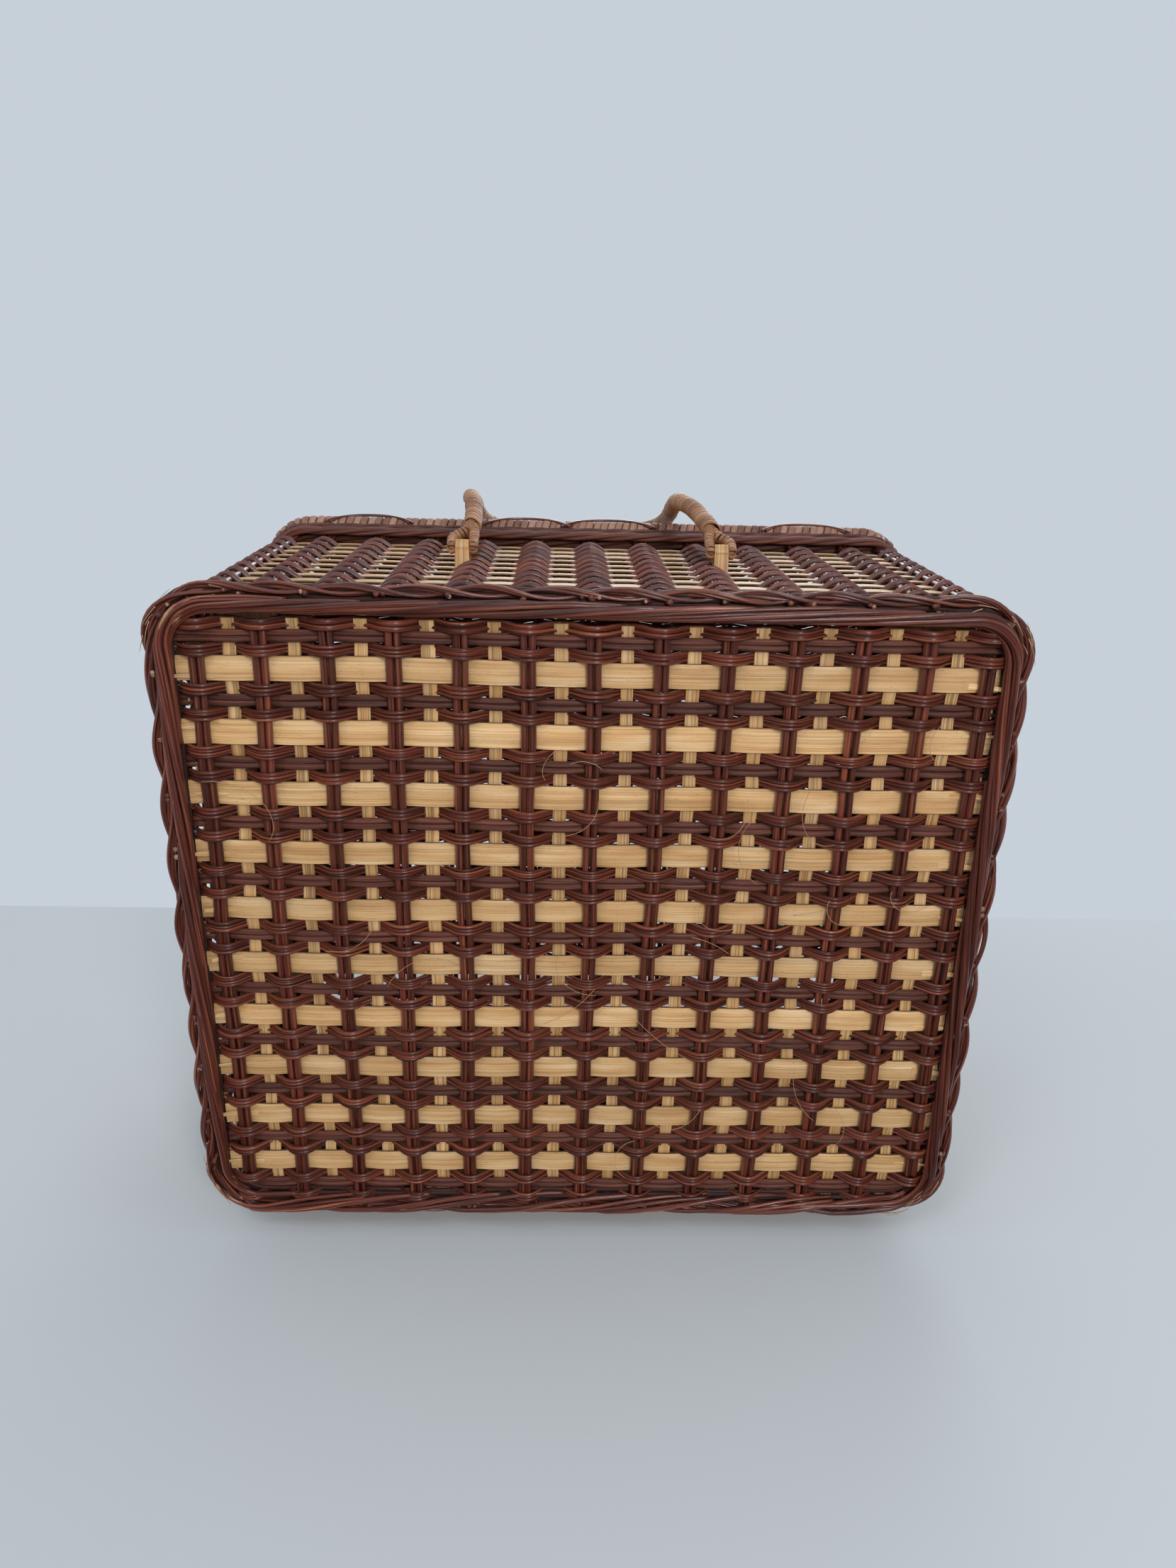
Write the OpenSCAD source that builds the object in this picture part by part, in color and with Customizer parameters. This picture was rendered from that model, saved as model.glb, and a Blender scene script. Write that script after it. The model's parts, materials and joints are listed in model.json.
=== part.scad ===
// Wicker laundry hamper: woven basket, drop-in lid on cane loops, swinging carrying handle.
// Millimetres. Origin at the middle of the base, +Z up, front wall with the handle at -Y.

/* [Basket] */
// Width over the woven side walls
wall_w = 376; // [372:1:384]
// Depth over the woven front and back walls
wall_d = 338; // [334:1:346]
// Outer radius of the woven wall's corners
wall_r = 22; // [19:1:25]
// Height of the braided foot border
foot_h = 14; // [13:0.5:15]
// How far the foot border stands out from the wall
foot_out = 7; // [6:0.5:9]
// Width of the foot border, seen from below
foot_w = 11; // [10:0.5:11.5]

/* [Weave] */
// Spacing of the stake columns
pitch = 30; // [29.5:0.1:30]
// Spacing of the stake columns on the two side walls
side_pitch = 33; // [30:0.5:33]
// Number of slat rows in the walls
wall_rows = 12; // [12]
// Height of one row of the wall weave
row_h = 14.6; // [14.4:0.1:14.6]
// Diameter of a base stake
stake_d = 3; // [2.6:0.1:3]
// Diameter of a wall stake
wall_stake_d = 2.7; // [2.4:0.1:2.7]
// Diameter of a cross reed
reed_d = 2.8; // [2.4:0.1:2.8]
// Diameter of a thin weaver
weaver_d = 1.6; // [1.2:0.1:1.7]
// Width of a bamboo slat in the base and lid
slat_w = 12; // [10:0.5:13]
// Width of a narrow cane strip
strip_w = 5.5; // [4:0.5:6]

/* [Rim and lid] */
// Radius of the bare rim rod
rim_rod_r = 4; // [3.5:0.1:4]
// Radius of the rim over its cane wrapping
rim_r = 5; // [4.8:0.1:5]
// How far the wrapped rim stands out from the wall
rim_out = 8.5; // [8:0.1:9]
// Radius of the lid frame over its cane wrapping
lid_r = 4.8; // [4.6:0.1:4.8]
// Gap between the lid's edge and the rim
lid_gap = 4.7; // [4:0.1:5]

/* [Handle] */
// Distance of each handle eye from the middle
eye_x = 68; // [68:0.1:69]
// Distance of the eye's pin from the wall's face
eye_out = 6.5; // [6.5:0.1:7]
// Radius of the eye's pin
pin_r = 2.5; // [2.3:0.1:2.5]
// Radius of the handle rod under its wrapping
grip_rod_r = 3; // [2.6:0.1:3]
// Radius of the handle over its wrapping
grip_r = 3.9; // [3.7:0.1:3.9]
// Sideways lean of the grip
grip_lean = -9; // [-9:1:0]

/* [Hidden] */
$fn = 48;

dark = "#4a2018";
dark_matte = "#5a3020";
natural = "#d8ab68";
wrap_tan = "#b08462";

clear = 0.2;                              // gap between strands that cross
strip_t = 0.8;
slat_t = 1.2;

// Depths below the outside face of a woven mat, outside to inside
weaver_at = weaver_d / 2;
stake_at = weaver_d + clear + stake_d / 2;
slat_at = weaver_d + stake_d + 2 * clear;
reed_at = slat_at + reed_d / 2;
strip_at = slat_at + reed_d + clear;
mat_t = strip_at + strip_t;
mat_z = 4;                                // outside face of the base mat

// Depths behind the outer face of a wall, outside to inside
wall_weaver_r = 0.9;
wall_stake_at = 2 * wall_weaver_r + clear + wall_stake_d / 2;
wall_slat_at = 2 * wall_weaver_r + wall_stake_d + 2 * clear;
wall_strip_at = wall_slat_at + slat_t + clear;
bundle_step = 2.8;                        // spacing of the three reeds of a wall stake

foot_w_out = wall_w + 2 * foot_out;
foot_d_out = wall_d + 2 * foot_out;
foot_r_out = wall_r + foot_out;
base_w = foot_w_out - 2 * foot_w - 2 * clear;
base_d = foot_d_out - 2 * foot_w - 2 * clear;
base_r = foot_r_out - foot_w - clear;
base_columns = 13;
base_rows = 10;

wall_z = foot_h + 2;                      // middle of the lowest weaver row
wall_top = wall_z + wall_rows * row_h;
wall_slat_h = row_h - 1.7;
wall_foot = foot_h + clear;
wall_columns = [11, 9];                   // front and back, then the sides
wall_pitch = [pitch, side_pitch];

band_z = wall_top + 0.6;
band_h = 10.2;
band_out = 4;
band_t = 15;

rim_z = band_z + band_h + 7.2;            // axis of the rim rod
rim_w = wall_w + 2 * (rim_out - rim_r);   // between the rod's axes
rim_d = wall_d + 2 * (rim_out - rim_r);
rim_bend = wall_r + rim_out - rim_r;

lid_z = rim_z + 5;                        // axis of the lid frame's rod
lid_inset = rim_r + lid_gap + lid_r;
lid_w = rim_w - 2 * lid_inset;
lid_d = rim_d - 2 * lid_inset;
lid_bend = rim_bend - lid_inset + 5;
lid_rod_r = lid_r - 0.8;
lid_mat_w = lid_w - 2 * lid_r - 2 * clear;
lid_mat_d = lid_d - 2 * lid_r - 2 * clear;
lid_mat_r = lid_bend - lid_r;
lid_columns = 11;
lid_rows = 10;
lid_mat_z = lid_z + mat_t / 2;

ledge_r = 3.5;
ledge_z = lid_z - lid_r - clear - ledge_r;
ledge_inset = 12;                         // from the rim rod's axis

loop_x = 82.2;
loop_w = 8;
loop_in = rim_r + 0.1;                    // turns on the rim with a running clearance
loop_out = loop_in + 1.2;

scallop_r = 40;
scallop_sweep = 66;
scallop_rod = 0.8;
scallop_rows = [[-132, -38, 12, 132], [-88, 0, 88]];
scallop_y = rim_out + scallop_rod + 0.3;

eye_y = -wall_d / 2 - eye_out;
eye_z = wall_z + 6.5 * row_h;             // the middle of a slat row
strap_w = 7.4;
strap_t = 1.5;
strap_in = pin_r + 0.06;                  // running clearance on the pin
lobe_gap = 0.6;                           // between a staple's strap and the lobes beside it
lobe_w = 5;
lobe_r = 4.4;
leg_r = 2.9;
leg_foot_out = 0.8;                       // a leg's foot stands outside the middle of its lobe

// Half of the handle's centre line from an eye to the middle of the grip, from the pin's axis
half_grip = [
    [62.5, -13, 25], [60.5, -18, 41], [59, -19, 60], [59, -14, 85], [58.5, -7, 103],
    [56.5, -1, 117], [50.5, 4.5, 130], [38, 7.8, 138], [20, 8.5, 140]
];
fork_top = [63.5, -10, 20.5];
grip_sides = 12;
grip_steps = 3;

function lean(z) = grip_lean * min(1, max(0, z - fork_top.z) / 40);   // the fork itself is upright
function side_of(p, s) = [s * p.x + lean(p.z), p.y + eye_y, p.z + eye_z];
function reversed(list) = [for (i = [len(list) - 1 : -1 : 0]) list[i]];
grip_points = concat(
    [for (p = half_grip) side_of(p, -1)],
    [side_of([0, 8.5, 140], 1)],
    [for (p = reversed(half_grip)) side_of(p, 1)]
);

// A smooth curve through the points: Catmull-Rom, with its ends held
function knot(list, i) = list[max(0, min(len(list) - 1, i))];
function blend(a, b, c, d, t) =
    (2 * b + (c - a) * t + (2 * a - 5 * b + 4 * c - d) * t * t
        + (3 * b - a - 3 * c + d) * t * t * t) / 2;
function smooth_path(list, steps) = concat(
    [for (i = [0 : len(list) - 2], j = [0 : steps - 1])
        blend(knot(list, i - 1), list[i], list[i + 1], knot(list, i + 2), j / steps)],
    [list[len(list) - 1]]
);
function unit(v) = v / norm(v);
function heading(path, i) = unit(knot(path, i + 1) - knot(path, i - 1));
// The grip lies nearly in one plane, so +Y is never along it
function ring_of(path, i, r) =
    let (t = heading(path, i), u = unit(cross(t, [0, 1, 0.2])), v = cross(t, u))
    [for (k = [0 : grip_sides - 1])
        let (a = 360 * k / grip_sides) path[i] + r * (cos(a) * u + sin(a) * v)];
function side_faces(rings, first, flip) = [
    for (i = [0 : rings - 2], k = [0 : grip_sides - 1])
        let (
            n = (k + 1) % grip_sides,
            a = first + i * grip_sides + k, b = first + i * grip_sides + n,
            c = b + grip_sides, d = a + grip_sides
        )
        flip ? [a, d, c, b] : [a, b, c, d]
];

// Half the length of a strand that lies `off` from the middle of a rounded rectangle
function half_span(off, half_len, half_side, r) =
    off <= half_side - r ? half_len
    : half_len - r + sqrt(max(0, r * r - pow(off - half_side + r, 2)));
function centred(i, n, step) = (i - (n - 1) / 2) * step;

module rounded_rect(w, d, r) {
    square([w - 2 * r, d], center = true);
    square([w, d - 2 * r], center = true);
    for (x = [-1, 1], y = [-1, 1])
        translate([x * (w / 2 - r), y * (d / 2 - r)]) circle(r);
}

module flat_ring(w, d, r, t, h) {
    linear_extrude(h) difference() {
        rounded_rect(w, d, r);
        rounded_rect(w - 2 * t, d - 2 * t, r - t);
    }
}

// Carries a 2-D section round a rounded rectangle: the section's X points outwards, its Y up
module hoop(w, d, r) {
    for (turn = [0, 180]) rotate([0, 0, turn]) {
        translate([w / 2, d / 2 - r, 0]) rotate([90, 0, 0]) linear_extrude(d - 2 * r) children();
        rotate([0, 0, 90]) translate([d / 2, w / 2 - r, 0]) rotate([90, 0, 0])
            linear_extrude(w - 2 * r) children();
        translate([w / 2 - r, d / 2 - r, 0])
            rotate_extrude(angle = 90) translate([r, 0]) children();
        translate([r - w / 2, d / 2 - r, 0]) rotate([0, 0, 90])
            rotate_extrude(angle = 90) translate([r, 0]) children();
    }
}

module annulus(r_out, r_in) {
    difference() {
        circle(r_out);
        circle(r_in);
    }
}

module rod_x(x_half, r) {
    rotate([0, 90, 0]) cylinder(h = 2 * x_half, r = r, center = true);
}

module rod_y(y_half, r) {
    rotate([90, 0, 0]) cylinder(h = 2 * y_half, r = r, center = true);
}

// ---- Woven mats: z = 0 is the outside face and +z goes inwards ----

module mat_stakes(columns, w, d, r) {
    for (i = [0 : columns - 1], s = [-1, 1]) {
        x = centred(i, columns, pitch) + s * (stake_d + 0.1) / 2;
        translate([x, 0, stake_at])
            rod_y(half_span(abs(x) + stake_d / 2, d / 2, w / 2, r), stake_d / 2);
    }
}

module mat_slats(rows, w, d, r) {
    for (i = [0 : rows - 1]) {
        y = centred(i, rows, pitch);
        half = half_span(abs(y) + slat_w / 2, w / 2, d / 2, r);
        translate([-half, y - slat_w / 2, slat_at]) cube([2 * half, slat_w, slat_t]);
    }
}

module mat_strips(columns, w, d, r) {
    for (i = [0 : columns - 1]) {
        x = centred(i, columns, pitch);
        half = half_span(abs(x) + strip_w / 2, d / 2, w / 2, r);
        translate([x - strip_w / 2, -half, strip_at]) cube([strip_w, 2 * half, strip_t]);
    }
}

module mat_cross_reeds(rows, w, d, r) {
    for (i = [0 : rows - 1], s = [-1, 1]) {
        y = centred(i, rows, pitch) + s * (reed_d + 0.2) / 2;
        translate([0, y, reed_at])
            rod_x(half_span(abs(y) + reed_d / 2, w / 2, d / 2, r), reed_d / 2);
    }
}

module mat_weavers(rows, w, d, r) {
    for (i = [0 : rows - 1], off = [-6.6, -4.6, 4.6, 6.6]) {
        y = centred(i, rows, pitch) + off;
        translate([0, y, weaver_at])
            rod_x(half_span(abs(y) + weaver_d / 2, w / 2, d / 2, r), weaver_d / 2);
    }
}

// ---- Base ----

module foot_border() {
    color(dark) flat_ring(foot_w_out, foot_d_out, foot_r_out, foot_w, foot_h);
}

module base_stakes() {
    color(dark) translate([0, 0, mat_z]) mat_stakes(base_columns, base_w, base_d, base_r);
}

module base_slats() {
    color(natural) translate([0, 0, mat_z]) mat_slats(base_rows, base_w, base_d, base_r);
}

module base_strips() {
    color(natural) translate([0, 0, mat_z]) mat_strips(base_columns - 1, base_w, base_d, base_r);
}

module base_cross_reeds() {
    color(dark_matte) translate([0, 0, mat_z])
        mat_cross_reeds(base_rows + 1, base_w, base_d, base_r);
}

module base_weavers() {
    color(dark) translate([0, 0, mat_z]) mat_weavers(base_rows + 1, base_w, base_d, base_r);
}

// ---- Walls: side 0 front, 1 right, 2 back, 3 left; local +Y goes inwards from the outer face ----

module on_wall(side) {
    rotate([0, 0, 90 * side])
        translate([0, -(side % 2 == 0 ? wall_d : wall_w) / 2, 0]) children();
}

function columns_of(side) = wall_columns[side % 2];
function pitch_of(side) = wall_pitch[side % 2];
function straight_of(side) = (side % 2 == 0 ? wall_w : wall_d) - 2 * wall_r;

module stake_bundle(at) {
    for (k = [-1 : 1]) translate([k * bundle_step, at, wall_foot])
        cylinder(h = wall_top - wall_foot + 0.4, d = wall_stake_d);
}

module wall_stakes(side) {
    color(dark) on_wall(side) for (i = [0 : columns_of(side) - 1])
        translate([centred(i, columns_of(side), pitch_of(side)), 0, 0]) stake_bundle(wall_stake_at);
}

module wall_slats(side) {
    color(natural) on_wall(side) for (row = [0 : wall_rows - 1])
        translate([-straight_of(side) / 2, wall_slat_at, wall_z + (row + 0.5) * row_h
                - wall_slat_h / 2])
            cube([straight_of(side), slat_t, wall_slat_h]);
}

module wall_strips(side) {
    color(natural) on_wall(side) for (i = [0 : columns_of(side) - 2])
        translate([centred(i, columns_of(side) - 1, pitch_of(side)) - strip_w / 2,
                wall_strip_at, wall_foot])
            cube([strip_w, strip_t, wall_top - wall_foot]);
}

// Corner 0 back right, 1 back left, 2 front left, 3 front right
module at_corner(i) {
    x = i == 0 || i == 3 ? 1 : -1;
    y = i < 2 ? 1 : -1;
    translate([x * (wall_w / 2 - wall_r), y * (wall_d / 2 - wall_r), 0])
        rotate([0, 0, 90 * i]) children();
}

module corner_slats(i) {
    color(natural) at_corner(i) for (row = [0 : wall_rows - 1])
        translate([0, 0, wall_z + (row + 0.5) * row_h - wall_slat_h / 2])
            rotate_extrude(angle = 90) translate([wall_r - wall_slat_at - slat_t, 0])
                square([slat_t, wall_slat_h]);
}

module corner_stakes() {
    color(dark) for (i = [0 : 3]) at_corner(i)
        rotate([0, 0, 135]) translate([0, -wall_r, 0]) stake_bundle(wall_stake_at);
}

module wall_weavers() {
    color(dark) for (row = [0 : wall_rows - 1], s = [-1, 1])
        translate([0, 0, wall_z + row * row_h + s * (wall_weaver_r + 0.05)])
            hoop(wall_w - 2 * wall_weaver_r, wall_d - 2 * wall_weaver_r, wall_r - wall_weaver_r)
                circle(wall_weaver_r);
}

module top_band() {
    color(dark_matte) translate([0, 0, band_z])
        flat_ring(wall_w + 2 * band_out, wall_d + 2 * band_out, wall_r + band_out, band_t, band_h);
}

module lid_ledge() {
    front = rim_d / 2 - ledge_inset;
    side = rim_w / 2 - ledge_inset;
    color(dark_matte) translate([0, 0, ledge_z]) {
        translate([0, -front, 0]) rod_x(side - 10, ledge_r);
        for (s = [-1, 1]) translate([s * side, -8, 0]) rod_y(front - 18, ledge_r);
    }
}

// ---- Rim ----

module rim_rod() {
    color(natural) translate([0, 0, rim_z]) hoop(rim_w, rim_d, rim_bend) circle(rim_rod_r);
}

module rim_wrap() {
    color(wrap_tan) translate([0, 0, rim_z])
        hoop(rim_w, rim_d, rim_bend) annulus(rim_r, rim_rod_r + 0.1);
}

module rim_scallops() {
    color(dark) for (side = [0 : 3]) on_wall(side) for (x = scallop_rows[side % 2])
        translate([x, -scallop_y, rim_z + 4 - scallop_r])
            rotate([90, 0, 0]) rotate([0, 0, 90 - scallop_sweep / 2])
                rotate_extrude(angle = scallop_sweep) translate([scallop_r, 0])
                    circle(scallop_rod);
}

// ---- Handle: it swings about the pins in its two eyes ----

module handle_staple(s) {
    leg = eye_out + wall_slat_at - clear;
    color(natural) translate([s * eye_x, eye_y, eye_z])
        rotate([90, 0, 90]) linear_extrude(strap_w, center = true) difference() {
            union() {
                circle(strap_in + strap_t);
                translate([0, -strap_in - strap_t]) square([leg, 2 * (strap_in + strap_t)]);
            }
            circle(strap_in);
            translate([0, -strap_in]) square([leg + 1, 2 * strap_in]);
        }
}

module handle_core() {
    path = smooth_path(grip_points, grip_steps);
    rings = len(path);
    color(natural) polyhedron(
        points = [for (i = [0 : rings - 1]) each ring_of(path, i, grip_rod_r)],
        faces = concat(
            side_faces(rings, 0, false),
            [[for (k = [grip_sides - 1 : -1 : 0]) k]],
            [[for (k = [0 : grip_sides - 1]) (rings - 1) * grip_sides + k]]
        )
    );
}

module handle_wrap() {
    path = smooth_path(grip_points, grip_steps);
    rings = len(path);
    shell = rings * grip_sides;
    last = (rings - 1) * grip_sides;
    color(wrap_tan) polyhedron(
        points = concat(
            [for (i = [0 : rings - 1]) each ring_of(path, i, grip_r)],
            [for (i = [0 : rings - 1]) each ring_of(path, i, grip_rod_r + 0.1)]
        ),
        faces = concat(
            side_faces(rings, 0, false),
            side_faces(rings, shell, true),
            [for (k = [0 : grip_sides - 1]) let (n = (k + 1) % grip_sides)
                [n, k, shell + k, shell + n]],
            [for (k = [0 : grip_sides - 1]) let (n = (k + 1) % grip_sides)
                [last + k, last + n, shell + last + n, shell + last + k]]
        )
    );
}

module handle_eye(s) {
    tip = side_of(fork_top, s);
    lobe_x = strap_w / 2 + lobe_gap + lobe_w / 2;
    color(wrap_tan) {
        translate([s * eye_x, eye_y, eye_z]) {
            rod_x(lobe_x + lobe_w / 2 - 0.5, pin_r);
            for (k = [-1, 1]) translate([k * lobe_x, 0, 0]) rod_x(lobe_w / 2, lobe_r);
        }
        for (k = [-1, 1]) hull() {
            translate([s * eye_x + k * (lobe_x + leg_foot_out), eye_y - 1, eye_z + 2])
                sphere(leg_r - 0.6, $fn = 24);
            translate(tip + [k * 1.2, 0, 0]) sphere(leg_r, $fn = 24);
        }
    }
}

// ---- Lid ----

module lid_frame() {
    color(natural) translate([0, 0, lid_z]) hoop(lid_w, lid_d, lid_bend) circle(lid_rod_r);
}

module lid_wrap() {
    color(wrap_tan) translate([0, 0, lid_z])
        hoop(lid_w, lid_d, lid_bend) annulus(lid_r, lid_rod_r + 0.1);
}

module in_lid() {
    translate([0, 0, lid_mat_z]) mirror([0, 0, 1]) children();
}

module lid_stakes() {
    color(dark) in_lid() mat_stakes(lid_columns, lid_mat_w, lid_mat_d, lid_mat_r);
}

module lid_slats() {
    color(natural) in_lid() mat_slats(lid_rows, lid_mat_w, lid_mat_d, lid_mat_r);
}

module lid_strips() {
    color(natural) in_lid() mat_strips(lid_columns + 1, lid_mat_w, lid_mat_d, lid_mat_r);
}

module lid_cross_reeds() {
    color(dark_matte) in_lid() mat_cross_reeds(lid_rows - 1, lid_mat_w, lid_mat_d, lid_mat_r);
}

module lid_weavers() {
    color(dark) in_lid() mat_weavers(lid_rows - 1, lid_mat_w, lid_mat_d, lid_mat_r);
}

// Two cane loops round the rim rod and the lid's back rod: the lid turns on the rim rod
module loop_outline(r, reach) {
    circle(r);
    translate([reach, 0]) circle(r);
    translate([0, -r]) square([reach, 2 * r]);
}

module hinge_loops() {
    across = lid_inset;
    up = lid_z - rim_z;
    reach = norm([across, up]);
    color(natural) for (s = [-1, 1])
        translate([s * loop_x, rim_d / 2, rim_z]) rotate([90, 0, 90])
            rotate([0, 0, 180 - atan2(up, across)]) linear_extrude(loop_w, center = true)
                difference() {
                    loop_outline(loop_out, reach);
                    loop_outline(loop_in, reach);
                }
}

foot_border();
base_stakes();
base_slats();
base_strips();
base_cross_reeds();
base_weavers();
wall_stakes(0);  // front_stakes
wall_stakes(1);  // right_stakes
wall_stakes(2);  // back_stakes
wall_stakes(3);  // left_stakes
corner_stakes();
wall_slats(0);  // front_slats
wall_slats(1);  // right_slats
wall_slats(2);  // back_slats
wall_slats(3);  // left_slats
corner_slats(0);  // back_right_corner_slats
corner_slats(1);  // back_left_corner_slats
corner_slats(2);  // front_left_corner_slats
corner_slats(3);  // front_right_corner_slats
wall_strips(0);  // front_strips
wall_strips(1);  // right_strips
wall_strips(2);  // back_strips
wall_strips(3);  // left_strips
wall_weavers();
top_band();
lid_ledge();
rim_rod();
rim_wrap();
rim_scallops();
handle_staple(-1);  // handle_staple_left
handle_staple(1);  // handle_staple_right
handle_core();
handle_wrap();
handle_eye(-1);  // handle_eye_left
handle_eye(1);  // handle_eye_right
lid_frame();
lid_wrap();
lid_stakes();
lid_slats();
lid_strips();
lid_cross_reeds();
lid_weavers();
hinge_loops();
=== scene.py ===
import json
import math
from typing import NamedTuple

import bpy
import numpy as np
from mathutils import Matrix, Vector


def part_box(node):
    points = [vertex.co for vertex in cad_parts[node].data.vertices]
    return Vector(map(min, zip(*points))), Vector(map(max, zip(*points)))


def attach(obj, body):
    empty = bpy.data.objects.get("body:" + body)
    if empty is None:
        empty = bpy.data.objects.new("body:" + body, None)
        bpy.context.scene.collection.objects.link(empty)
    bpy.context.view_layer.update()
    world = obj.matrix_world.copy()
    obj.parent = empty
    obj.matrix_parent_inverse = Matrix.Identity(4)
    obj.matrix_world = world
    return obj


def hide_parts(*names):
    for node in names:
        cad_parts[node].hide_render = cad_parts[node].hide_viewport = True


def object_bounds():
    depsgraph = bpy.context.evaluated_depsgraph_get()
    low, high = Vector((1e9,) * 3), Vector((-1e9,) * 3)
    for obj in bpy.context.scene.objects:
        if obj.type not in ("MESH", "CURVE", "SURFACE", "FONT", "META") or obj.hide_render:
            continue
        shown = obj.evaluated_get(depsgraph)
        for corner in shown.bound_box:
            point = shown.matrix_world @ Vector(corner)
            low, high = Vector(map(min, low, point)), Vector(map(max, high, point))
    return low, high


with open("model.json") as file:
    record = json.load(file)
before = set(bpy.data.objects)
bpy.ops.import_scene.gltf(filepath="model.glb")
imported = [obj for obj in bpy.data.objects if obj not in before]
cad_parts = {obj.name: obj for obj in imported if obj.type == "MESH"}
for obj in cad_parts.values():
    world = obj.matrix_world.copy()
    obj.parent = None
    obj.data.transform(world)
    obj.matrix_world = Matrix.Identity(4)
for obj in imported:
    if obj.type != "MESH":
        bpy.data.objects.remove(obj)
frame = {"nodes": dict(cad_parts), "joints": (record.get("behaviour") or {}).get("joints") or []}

CAD_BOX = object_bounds()
MM = 1000.0             # in a metre
TAU = 2 * math.pi
UP = np.array([0.0, 0.0, 1.0])


def box_mm(node):
    """Lowest and highest corner of a CAD node, in millimetres."""
    low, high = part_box(node)
    return np.array(low) * MM, np.array(high) * MM


def joint_axis(name):
    """A point on a joint's axis, in millimetres."""
    found = [joint for joint in frame["joints"] if joint["name"] == name]
    return np.array(found[0]["pos_m"]) * MM


# ---- Sizes: the weave's own, and what the frame gives ----

PITCH = 30.0            # between the stake columns of the base and lid
FRONT_PITCH = 31.0      # between the stake columns of the front and back walls
SIDE_PITCH = 34.0       # between the stake columns of the side walls
ROW = 14.6              # height of a slat row in the walls
WALL_ROWS = 12
WALL_R = 15.0           # corner radius of the woven wall
RIM_BEND = 25.5         # and of the rim rod
BASE_COLUMNS = 13
BASE_ROWS = 10
BASE_BEND = 17.8        # corner radius of the base mat
BASE_TUCK = (6.0, -7.0)     # how far its strands run on under the border, in x and in y
LID_COLUMNS = 11
LID_ROWS = 10
LID_BEND = 11.2
LID_TUCK = (3.0, 3.0)
FRONT_COLUMNS = 11
SIDE_COLUMNS = 9

WALL_LOW, WALL = box_mm("wall_weavers")
FOOT = box_mm("foot_border")[1]
BAND_LOW, BAND = box_mm("top_band")
RIM_LOW, RIM = box_mm("rim_wrap")
RIM_Z = (RIM_LOW[2] + RIM[2]) / 2
RIM_R = (RIM[2] - RIM_LOW[2]) / 2
LID_LOW, LID = box_mm("lid_wrap")
LID_Z = (LID_LOW[2] + LID[2]) / 2
LID_R = (LID[2] - LID_LOW[2]) / 2
LEDGE_LOW, LEDGE = box_mm("lid_ledge")
FIRST_ROW = WALL_LOW[2] + 1.85      # the middle of the first row of weavers
WALL_TOP = FIRST_ROW + WALL_ROWS * ROW
PIN = joint_axis("handle_swing")
HINGE = joint_axis("lid_open")


# ---- Strands ----

def round_section(radius, sides=8, flats=0.0):
    """The outline of a reed. Flats pulls every second corner in, as on split reed."""
    angle = TAU * (np.arange(sides) + 0.5) / sides
    reach = radius * (1 - flats * (np.arange(sides) % 2))
    return np.stack([reach * np.cos(angle), reach * np.sin(angle)], 1)


def flat_section(width, thick, crown=0.12, edge=0.25):
    """The outline of a slat or strip, with rounded edges and a crowned outer face."""
    w, t = width / 2, thick / 2
    half = [(w - edge, -t), (w, -t + edge), (w, t - edge), (w - edge, t), (w / 3, t + crown)]
    return np.array(half + [(-x, y) for x, y in reversed(half)])


FLAT_EDGES = (0, 1, 2, 6, 7, 8)     # the narrow sides of a flat section


def wrap_section(width, thick):
    """The outline of one turn of wrapping cane, which lies on the rod at height 0."""
    w, shoulder = width / 2, width / 2 - 0.45
    return np.array([(w, 0), (shoulder, 0.8 * thick), (0, thick), (-shoulder, 0.8 * thick),
                     (-w, 0), (0, -0.2)])


def mixed(low, high, share):
    """From low at share 0 to high at share 1."""
    return low + (high - low) * share


def turned(first, second, angle):
    """Directions at each angle from first towards second."""
    return np.cos(angle)[:, None] * first + np.sin(angle)[:, None] * second


def span(reach, count):
    """Distances from -reach to reach, and the same as shares of the whole."""
    along = np.linspace(-reach, reach, count)
    return along, along / (2 * reach) + 0.5


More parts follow.
